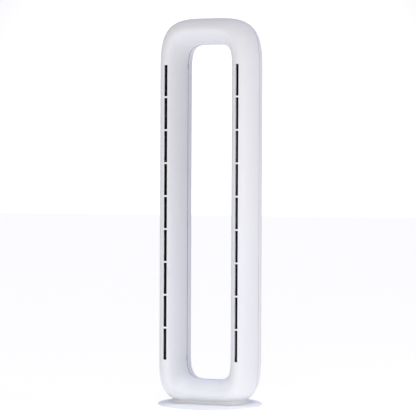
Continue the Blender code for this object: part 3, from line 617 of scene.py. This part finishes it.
def rear_shell():
    """Rear half of the loop, with filter bays, inlet opening and a sleeve round each casing screw."""
    shell = loop_shell("tower_rear_shell", 1, (BAY_LOW, BAY_HIGH), (-BAY_EDGE, BAY_EDGE), in_bay)
    cut(shell, trim_cutter("rear_trim"))
    cut(shell, panel_cutter("rear_panel_opening"))
    inside, bore_front, bore_overrun = 0.05, 0.04, 0.01
    low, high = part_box("power_inlet")
    inlet_low = (low.x - CLEARANCE, inside, low.z - CLEARANCE)
    inlet_high = (high.x + CLEARANCE, BEHIND, high.z + CLEARANCE)
    cut(shell, box("inlet_opening", inlet_low, inlet_high))
    sleeves = []
    for number, (x, seat, z) in enumerate(screw_middles()):
        rim = arc(BORE_RADIUS + SLEEVE_WALL, 0, 345, 23, (x, z))
        hits = [shell.ray_cast((rim_x, BEHIND, rim_z), (0.0, -1.0, 0.0))[1] for rim_x, rim_z in rim]
        lowest = min(hit.y for hit in hits)
        sleeve = rod_along_y(f"sleeve_{number}", BORE_RADIUS + SLEEVE_WALL, seat, lowest - EDGE_ROUND, x, z)
        cut(sleeve, rod_along_y(f"sleeve_bore_{number}", BORE_RADIUS, seat - bore_overrun, BEHIND, x, z))
        cut(shell, rod_along_y(f"bore_{number}", BORE_RADIUS, bore_front, BEHIND, x, z))
        sleeves.append(sleeve)
    round_edges(shell, EDGE_ROUND, 3)
    bake_modifiers(shell)
    shell = merged("tower_rear_casing", [shell] + sleeves)
    return finish_piece(shell, "white_shell", "tower", "rear_shell")


def seam_shade_strip():
    """Strip behind the gap between the shells that closes it, black as painted shade in the seam: sunk in
    the outer seam, nearly flush round the hole.
    """
    stations = half_loop_stations(())
    outer_inset, hole_inset = 0.0005, 0.0001
    wall, reach = 0.0030, 0.0025
    points = []
    for outer, hole in stations:
        span = math.dist(outer, hole)
        for depth in (0.0, wall):
            for end, other, inset in ((outer, hole, outer_inset), (hole, outer, hole_inset)):
                share = (inset + depth) / span
                x = end[0] + (other[0] - end[0]) * share
                z = end[1] + (other[1] - end[1]) * share
                points += [(x, SEAM_Y - reach, z), (x, SEAM_Y + reach, z)]
    # A station has four points near the surface, then four a wall deeper: two outer, two round the hole.
    corners = 8
    faces = []
    for station in range(len(stations) - 1):
        here, there = station * corners, (station + 1) * corners
        for rim in (0, 2):
            ring = (rim, rim + 1, rim + 5, rim + 4)
            for place, corner in enumerate(ring):
                following = ring[(place + 1) % len(ring)]
                faces.append((here + corner, there + corner, there + following, here + following))
    shade_strip = new_object("tower_seam_shade_strip", points, faces)
    add_modifier(shade_strip, "mirror", "MIRROR", merge_threshold=SAME_POINT)
    bake_modifiers(shade_strip)
    face_outwards(shade_strip)
    cut(shade_strip, trim_cutter("shade_strip_trim"))
    cut(shade_strip, panel_cutter("shade_strip_panel_opening"))
    # Its black is painted shade in the seam between the shells.
    return finish_piece(shade_strip, "black_grille", "tower")


def slot_sleeve(name, side, low, high):
    """Black lining of one slot, a little below the nose's surface and following its slope."""
    lip, sink, slack, root = 0.0007, 0.0005, 0.0001, 0.0002
    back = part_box("outlet_grille_right")[0].y + root
    inner_x, outer_x = SLOT_X - SLOT_WIDTH / 2 + slack, SLOT_X + SLOT_WIDTH / 2 - slack
    low, high = low + slack, high - slack
    rows = []
    for inset, at_front in ((0.0, True), (lip, True), (lip, False), (0.0, False)):
        corners = (
            (inner_x + inset, low + inset), (outer_x - inset, low + inset),
            (outer_x - inset, high - inset), (inner_x + inset, high - inset))
        rows.append([(side * x, sink - nose_depth(x) if at_front else back, z) for x, z in corners])
    return ring_loft(name, rows)


def outlet_grilles():
    """Black strips behind the slots with a jet slit in each, and the black lining of each slot."""
    jet_half, jet_end, overrun, edge = 0.001, 0.004, 0.01, 0.0002
    for name, side in SIDES:
        low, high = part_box(f"outlet_grille_{name}")
        strip = box(f"outlet_strip_{name}", low, high)
        middle_x = (low.x + high.x) / 2
        jets = [
            box(f"jet_{row}", (middle_x - jet_half, low.y - overrun, slot_low + jet_end),
                (middle_x + jet_half, high.y + overrun, slot_high - jet_end))
            for row, (slot_low, slot_high) in enumerate(SLOT_ROWS)]
        cut(strip, merged(f"jets_{name}", jets))
        sleeves = [slot_sleeve(f"sleeve_{row}", side, *ends) for row, ends in enumerate(SLOT_ROWS)]
        grille = merged(f"outlet_lining_{name}", [strip] + sleeves)
        round_edges(grille, edge)
        finish_piece(grille, "black_grille", "tower", f"outlet_grille_{name}")


# ---- base ----

BASE_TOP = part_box("base_cover")[1].z
# The disc's crown: how far its upper face lies below the middle at each radius.
DISC_DROPS = (
    (0.0113, 0.0), (0.045, 0.0), (0.062, 0.0002), (0.078, 0.0004), (0.090, 0.0006), (0.100, 0.0009),
    (0.106, 0.0014), (0.112, 0.0021), (0.119, 0.0029), (0.126, 0.0038), (0.1300, 0.0047),
    (0.1321, 0.0055))


def disc_height(radius):
    """Height of the disc's upper face at a distance from the swivel axis."""
    for (near, high), (far, low) in zip(DISC_DROPS, DISC_DROPS[1:]):
        if radius <= far:
            return BASE_TOP - high - (low - high) * (radius - near) / (far - near)
    return BASE_TOP - DISC_DROPS[-1][1]


def base_cover():
    """Crowned disc with a rounded rim, turned round the swivel axis."""
    low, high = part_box("base_cover")
    rim, skin, edge_radius, inset, under_edge = high.x, 0.0020, 0.0020, 0.0015, 0.0034
    upper = [(radius, BASE_TOP - drop) for radius, drop in DISC_DROPS]
    middle = (rim - edge_radius, low.z + edge_radius)
    edge = arc(edge_radius, 60, -60, 8, middle) + [(rim - under_edge, low.z)]
    lower = [(radius - inset, BASE_TOP - drop - skin) for radius, drop in reversed(DISC_DROPS[1:-1])]
    profile = upper + edge + lower + [(DISC_DROPS[0][0], BASE_TOP - skin)]
    disc = turned("base_disc", profile, 192)
    bake_modifiers(disc)
    # The disc keeps the shell's slot but wears the paler, bluer copy of its white: painted light on the
    # disc.
    return finish_piece(disc, "white_shell", "base", "base_cover", angle=50.0, look="lit_base")


# ---- tower foot ----

def bridge_station(angle, share):
    """(x, z) a share of the way from the hole (-1) to the outer outline (1) on a lower corner."""
    outer, hole = corner_point(angle, OUTER, False), corner_point(angle, HOLE, False)
    return tuple((a + b) / 2 + (a - b) / 2 * share for a, b in zip(outer, hole))


def level_outline(level, steps=36, flat_steps=8, halvings=40):
    """(x, y) points round the loop where a level plane cuts its bottom bridge, counter-clockwise."""
    half_height = (HOLE_BOTTOM - TOWER_BOTTOM) / 2
    share = (TOWER_BOTTOM + half_height - level) / half_height
    widest = HALF_DEPTH * (1 - share ** SECTION_POWER) ** (1 / SECTION_POWER)
    quadrant = []
    for step in range(steps):
        depth = widest * math.sin(math.pi / 2 * step / steps)
        share = (1 - (depth / HALF_DEPTH) ** SECTION_POWER) ** (1 / SECTION_POWER)
        column, bridge = 0.0, math.pi / 2
        for _ in range(halvings):
            angle = (column + bridge) / 2
            x, z = bridge_station(angle, share)
            column, bridge = (column, angle) if z < level else (angle, bridge)
        quadrant.append((x, depth))
    flat = [(quadrant[-1][0] * (1 - step / flat_steps), widest) for step in range(1, flat_steps)]
    right = quadrant + flat
    right = [(x, -y) for x, y in reversed(right[1:])] + right
    return right + [(0.0, widest)] + [(-x, y) for x, y in reversed(right)] + [(0.0, -widest)]


def offset_outline(outline, distance):
    """A closed counter-clockwise outline moved outwards along its normals."""
    moved = []
    for place, (x, y) in enumerate(outline):
        before, after = outline[place - 1], outline[(place + 1) % len(outline)]
        along_x, along_y = after[0] - before[0], after[1] - before[1]
        length = math.hypot(along_x, along_y)
        moved.append((x + along_y / length * distance, y - along_x / length * distance))
    return moved


def tower_foot():
    """Skirt that flares from the casing onto the disc, with the floor plate inside it."""
    outline = level_outline(TRIM_Z)
    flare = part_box("tower_foot")[1].x - max(x for x, _ in outline)
    top = TRIM_Z - 0.0001
    lip = BASE_TOP + 0.0003
    floor, floor_thickness, plate_inset, overrun = 0.0138, 0.0025, 0.0050, 0.01
    # Each row: offset outwards, height, and how closely it follows the disc's fall.
    section = [
        (0.0, top, 0.0), (0.0002, top - 0.0014, 0.0), (0.0005, 0.0150, 0.0), (0.0010, 0.0140, 0.0),
        (0.0018, 0.0129, 0.1), (0.0029, 0.0119, 0.3), (0.0044, 0.0112, 0.55), (0.0062, 0.0109, 0.8),
        (flare - 0.0009, lip + 0.0005, 1.0), (flare - 0.0001, lip + 0.0003, 1.0),
        (flare - 0.0003, lip, 1.0), (0.0030, lip + 0.0007, 0.8), (-0.0020, floor, 0.0),
        (-0.0060, floor, 0.0), (-0.0060, top, 0.0)]
    rows = []
    for offset, height, follow in section:
        row = []
        for x, y in offset_outline(outline, offset):
            fall = BASE_TOP - disc_height(math.hypot(x, y))
            row.append((x, y, height - follow * fall))
        rows.append(row)
    foot = ring_loft("tower_foot_skirt", rows)
    plate = prism("floor_plate", offset_outline(outline, -plate_inset), floor, floor + floor_thickness)
    pinion_low, pinion_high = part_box("drive_pinion")
    middle = (pinion_low + pinion_high) / 2
    pinion_radius = (pinion_high.x - pinion_low.x) / 2 + CLEARANCE
    for name, radius, centre in (
            ("post", DISC_DROPS[0][0], (0.0, 0.0)), ("pinion", pinion_radius, (middle.x, middle.y))):
        opening = arc(radius, 0, 350, 35, centre)
        cut(plate, prism(f"{name}_opening", opening, floor - overrun, floor + floor_thickness + overrun))
    foot = merged("tower_foot_skirt", [foot, plate])
    return finish_piece(foot, "white_shell", "tower", "tower_foot", angle=50.0)


# ---- filter cassettes ----

INTAKE_ROWS = 14
INTAKE_HALF = 0.013
INTAKE_SLATS = 4
INTAKE_SHARE = 0.45
SLAT_SHARE = 0.36


def intake_rows():
    """(low, high) of every fine intake slot up a cover."""
    margin = 0.02
    pitch = (COVER_HIGH.z - COVER_LOW.z - 2 * margin) / INTAKE_ROWS
    fine_pitch = pitch * INTAKE_SHARE / INTAKE_SLATS
    rows = []
    for row in range(INTAKE_ROWS):
        for slat in range(INTAKE_SLATS):
            low = COVER_LOW.z + margin + row * pitch + slat * fine_pitch
            rows.append((low, low + fine_pitch * (1 - SLAT_SHARE)))
    return rows


def intake_cover(name, side):
    """Strip of the rear nose of one column, with groups of fine intake slots."""
    slots = intake_rows()
    levels = [COVER_LOW.z] + [level for row in slots for level in row] + [COVER_HIGH.z]
    steps = 18
    xs = [-COVER_HALF + 2 * COVER_HALF * step / steps for step in range(steps + 1)]
    for edge in (-INTAKE_HALF, INTAKE_HALF):
        xs[min(range(len(xs)), key=lambda place: abs(xs[place] - edge))] = edge
    points = [(side * (COLUMN_X + x), nose_depth(COLUMN_X + x), z) for z in levels for x in xs]
    row = len(xs)
    faces = []
    for level, (low, high) in enumerate(zip(levels, levels[1:])):
        slot = (low, high) in slots
        for step in range(row - 1):
            if slot and abs(xs[step] + xs[step + 1]) / 2 < INTAKE_HALF:
                continue
            first = level * row + step
            face = (first, first + 1, first + row + 1, first + row)
            faces.append(face if side < 0 else face[::-1])
    cover = new_object(f"filter_cover_{name}", points, faces)
    add_modifier(cover, "wall", "SOLIDIFY", thickness=WALL, offset=-1.0, use_even_offset=True)
    bake_modifiers(cover)
    round_edges(cover, 0.0005, 2)
    return finish_piece(cover, "white_cover", f"cassette_{name}", f"intake_cover_{name}")


def intake_covers():
    for name, side in SIDES:
        intake_cover(name, side)


# ---- control panel ----

BUTTON_NAMES = ("power", "speed", "swing")
PRINT_DEPTH = 0.0004


def control_panel():
    """Black capsule with a rounded rim, openings for the buttons and a window for the lens."""
    overrun = 0.01
    low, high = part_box("control_panel")
    middle = (low + high) / 2
    outline = capsule((high.x - low.x) / 2, (high.y - low.y) / 2, (middle.x, middle.y), 28)
    panel = prism("top_panel", outline, low.z, high.z)
    for name in BUTTON_NAMES:
        button_low, button_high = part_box(f"{name}_button")
        centre = (button_low + button_high) / 2
        radius = (button_high.x - button_low.x) / 2 + CLEARANCE
        hole = arc(radius, 0, 352.5, 47, (centre.x, centre.y))
        cut(panel, prism(f"{name}_opening", hole, low.z - overrun, high.z + overrun))
    lens_low, lens_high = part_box("display_lens")
    centre = (lens_low + lens_high) / 2
    half_length, radius = (lens_high.x - lens_low.x) / 2, (lens_high.y - lens_low.y) / 2
    window = capsule(half_length + CLEARANCE, radius + CLEARANCE, (centre.x, centre.y), 20)
    cut(panel, prism("window_opening", window, low.z - overrun, high.z + overrun))
    round_edges(panel, 0.0004, 3)
    finish_piece(panel, "black_panel", "tower", "control_panel")
    glass = capsule(half_length, radius, (centre.x, centre.y), 20)
    lens = prism("display_window", glass, lens_low.z, lens_high.z)
    round_edges(lens, 0.0003, 3)
    finish_piece(lens, "smoked_lens", "tower", "display_lens")


def symbol_bar(name, middle, size, top):
    return box(name, (middle[0] - size[0] / 2, middle[1] - size[1] / 2, top - PRINT_DEPTH),
               (middle[0] + size[0] / 2, middle[1] + size[1] / 2, top))


def symbol_arc(name, middle, radius, start, end, width, top):
    outline = arc(radius + width / 2, start, end, 20, middle)
    outline += arc(radius - width / 2, end, start, 20, middle)
    return prism(name, outline, top - PRINT_DEPTH, top)


def button_symbol(name, middle, top):
    """Power: an open ring and a bar. Speed: three rising bars. Swing: an arc with two end stops."""
    x, y = middle
    line = 0.00038
    if name == "power":
        return [symbol_arc("ring", middle, 0.0015, 120, 420, line, top),
                symbol_bar("bar", (x, y + 0.0011), (line, 0.0016), top)]
    if name == "speed":
        foot, pitch = y - 0.0012, 0.0011
        return [symbol_bar(f"bar_{step}", (x + (step - 1) * pitch, foot + height / 2), (line, height), top)
                for step, height in enumerate((0.0010, 0.0017, 0.0024))]
    return [symbol_arc("sweep", (x, y - 0.0010), 0.0020, 35, 145, line, top),
            symbol_bar("stop_left", (x - 0.0017, y), (line, 0.0012), top),
            symbol_bar("stop_right", (x + 0.0017, y), (line, 0.0012), top)]


def buttons():
    """Round keys with a soft edge and a slight dish, each with a printed symbol."""
    for name in BUTTON_NAMES:
        low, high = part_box(f"{name}_button")
        centre = (low + high) / 2
        radius, top = (high.x - low.x) / 2, high.z
        skirt, rim_radius, stem_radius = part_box("control_panel")[0].z, 0.0005, 0.0015
        dish = [(0.0, top - 0.00025), (0.0018, top - 0.0002), (radius - 0.0009, top - 0.00005)]
        rim = arc(rim_radius, 90, 0, 6, (radius - rim_radius, top - rim_radius))
        stem = [(radius, skirt), (stem_radius, skirt), (stem_radius, low.z), (0.0, low.z)]
        key = turned(f"{name}_key", dish + rim + stem, 64)
        bake_modifiers(key)
        key.data.transform(Matrix.Translation((centre.x, centre.y, 0.0)))
        finish_piece(key, "grey_button", f"{name}_button", f"{name}_button")
        print_top = top - 0.00012
        symbol = merged(f"{name}_symbol", button_symbol(name, (centre.x, centre.y), print_top))
        finish_piece(symbol, "white_cover", f"{name}_button")


# ---- power inlet ----

def power_inlet():
    """Mains inlet: a flanged well behind the rear shell's opening, with two round pins."""
    wall, lip, overrun = 0.0016, 0.0030, 0.01
    floor, socket_half, socket_radius = 0.0620, 0.0110, 0.0062
    pin_root, pin_tip, pin_radius, pin_offset = 0.0600, 0.004, 0.0012, 0.0043
    low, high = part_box("power_inlet")
    mouth = high.y
    middle = (low + high) / 2
    well = box("inlet_well", low, high)
    hollow_low = (low.x + wall, mouth - lip, low.z + wall)
    hollow_high = (high.x - wall, BEHIND, high.z - wall)
    cut(well, box("inlet_hollow", hollow_low, hollow_high))
    socket = capsule(socket_half, socket_radius, (0.0, 0.0), 20)
    cut(well, prism_along_y("inlet_socket", socket, floor, mouth + overrun, middle.x, middle.z))
    round_edges(well, 0.0003, 2)
    finish_piece(well, "black_panel", "tower", "power_inlet")
    pins = []
    for name, side in SIDES:
        x = middle.x + side * pin_offset
        pins.append(rod_along_y(f"pin_{name}", pin_radius, pin_root, mouth - pin_tip, x, middle.z))
    pin_pair = merged("inlet_pins", pins)
    round_edges(pin_pair, 0.0003, 2)
    finish_piece(pin_pair, "zinc_steel", "tower")


def dress_cad_nodes():
    """Every CAD node that still shows gets its slot's procedural material."""
    slots = {row["node"]: row["material_slot"] for row in frame["record"]["subparts"]}
    for name, node in frame["nodes"].items():
        dress(node, slots[name])


# ---- stage, light and camera ----

CAMERA_AZIMUTH = math.radians(17.727)
CAMERA_DISTANCE = 4.7653
CAMERA_HEIGHT = 0.6032
CAMERA_PAN = math.radians(0.095)
CAMERA_TILT = math.radians(1.118)
CAMERA_ROLL = math.radians(0.249)
CAMERA_LENS = 159.5


def camera():
    """A long lens to the right of the front, a little above the tower's middle."""
    data = bpy.data.cameras.new("camera")
    data.lens = CAMERA_LENS
    data.sensor_width = 36.0
    data.clip_end = 100.0
    made = bpy.data.objects.new("camera", data)
    bpy.context.scene.collection.objects.link(made)
    bpy.context.scene.camera = made
    facing = CAMERA_AZIMUTH + CAMERA_PAN
    right = Vector((math.cos(facing), math.sin(facing), 0.0))
    ahead = Vector((-math.sin(facing), math.cos(facing), 0.0)) * math.cos(CAMERA_TILT)
    ahead += Vector((0.0, 0.0, -math.sin(CAMERA_TILT)))
    up = right.cross(ahead)
    across = right * math.cos(CAMERA_ROLL) + up * math.sin(CAMERA_ROLL)
    upright = up * math.cos(CAMERA_ROLL) - right * math.sin(CAMERA_ROLL)
    turn = Matrix((across, upright, -ahead)).transposed().to_4x4()
    place = Vector((math.sin(CAMERA_AZIMUTH), -math.cos(CAMERA_AZIMUTH), 0.0)) * CAMERA_DISTANCE
    place.z = CAMERA_HEIGHT
    made.matrix_world = Matrix.Translation(place) @ turn


def direction(azimuth, elevation):
    """Unit vector towards an azimuth (0 in front, 90 on the right) and an elevation, in degrees."""
    turn, rise = math.radians(azimuth), math.radians(elevation)
    return Vector((math.sin(turn) * math.cos(rise), -math.cos(turn) * math.cos(rise), math.sin(rise)))


# Glows of the studio's walls and ceiling, narrower the sharper they are: azimuth, elevation, sharpness
# and colour.
SURROUND = (
    (0.0, 0.0, 2.0, (0.78, 0.77, 0.68)),
    (90.0, 0.0, 2.0, (0.14, 0.14, 0.26)),
    (90.0, 0.0, 30.0, (0.80, 0.80, 0.76)),
    (180.0, 0.0, 2.0, (0.04, 0.08, 0.40)),
    (270.0, 0.0, 2.0, (0.07, 0.06, 0.08)),
    (270.0, 0.0, 30.0, (0.75, 0.75, 0.75)),
    (0.0, 90.0, 2.0, (0.93, 0.92, 1.00)),
    (197.7, 0.0, 30.0, (1.25, 1.20, 0.95)),
)


def surround():
    """World light: the sum of the glows, each fading with the angle from its direction."""
    world = bpy.data.worlds.new("studio")
    bpy.context.scene.world = world
    world.use_nodes = True
    tree = world.node_tree
    towards = add_node(tree, "ShaderNodeTexCoord").outputs["Generated"]
    total = None
    for azimuth, elevation, sharpness, color in SURROUND:
        facing = add_node(tree, "ShaderNodeVectorMath", operation="DOT_PRODUCT")
        facing.inputs[1].default_value = direction(azimuth, elevation)
        ahead = add_node(tree, "ShaderNodeMath", operation="MAXIMUM")
        ahead.inputs[1].default_value = 0.0
        falloff = add_node(tree, "ShaderNodeMath", operation="POWER")
        falloff.inputs[1].default_value = sharpness
        glow = add_node(tree, "ShaderNodeVectorMath", operation="SCALE")
        glow.inputs[0].default_value = color
        tree.links.new(towards, facing.inputs[0])
        tree.links.new(facing.outputs["Value"], ahead.inputs[0])
        tree.links.new(ahead.outputs["Value"], falloff.inputs[0])
        tree.links.new(falloff.outputs["Value"], glow.inputs["Scale"])
        if total is None:
            total = glow.outputs["Vector"]
            continue
        both = add_node(tree, "ShaderNodeVectorMath", operation="ADD")
        tree.links.new(total, both.inputs[0])
        tree.links.new(glow.outputs["Vector"], both.inputs[1])
        total = both.outputs["Vector"]
    tree.links.new(total, tree.nodes["Background"].inputs["Color"])


def soft_light(name, energy, size, place, target, color=(1.0, 1.0, 1.0)):
    """A rectangular softbox, size being its width and height."""
    data = bpy.data.lights.new(name, "AREA")
    data.energy = energy
    data.shape = "RECTANGLE"
    data.size, data.size_y = size
    data.color = color
    made = bpy.data.objects.new(name, data)
    made.location = place
    made.rotation_euler = (Vector(target) - Vector(place)).to_track_quat("-Z", "Y").to_euler()
    bpy.context.scene.collection.objects.link(made)
    return made


def pale_floor():
    """Pale floor, faintly lit from within so that it stays as bright as the surround."""
    half = 20.0
    corners = [(-half, -half, 0), (half, -half, 0), (half, half, 0), (-half, half, 0)]
    made = new_object("floor", corners, [(0, 1, 2, 3)])
    look, tree, shader = new_material("floor")
    mottle = tint(tree, noise(tree, 3.0), (0.89, 0.89, 0.89), (0.91, 0.91, 0.91))
    tree.links.new(mottle, shader.inputs["Base Color"])
    shader.inputs["Roughness"].default_value = 0.8
    shader.inputs["Specular IOR Level"].default_value = 0.1
    shader.inputs["Emission Color"].default_value = (1.0, 1.0, 1.0, 1.0)
    shader.inputs["Emission Strength"].default_value = 0.43
    made.data.materials.append(look)


def studio():
    """Surround, floor, frontal key, tall strip on the right, low blue glow and a light on the base."""
    bpy.context.scene.view_settings.view_transform = "Standard"
    surround()
    pale_floor()
    middle = Vector((0.0, 0.0, 0.5))
    soft_light("key", 4.5, (1.2, 2.0), middle + direction(8, 14) * 3.0, middle)
    soft_light("right_strip", 9.2, (0.4, 2.0), middle + direction(90, 5) * 2.5, middle, (1.0, 0.94, 0.76))
    soft_light("low_glow", 0.45, (0.9, 0.3), (-0.10, -1.1, 0.12), (0.0, 0.0, 0.04), (0.22, 0.34, 1.0))
    base_glow = soft_light(
        "base_glow", 0.16, (0.5, 0.3), (0.25, -0.45, 1.25), (0.0, -0.05, 0.0), (0.80, 0.88, 1.0))
    base_glow.data.spread = math.radians(28)


camera()
studio()
dress_cad_nodes()
front_shell()
rear_shell()
seam_shade_strip()
outlet_grilles()
tower_foot()
base_cover()
intake_covers()
control_panel()
buttons()
power_inlet()
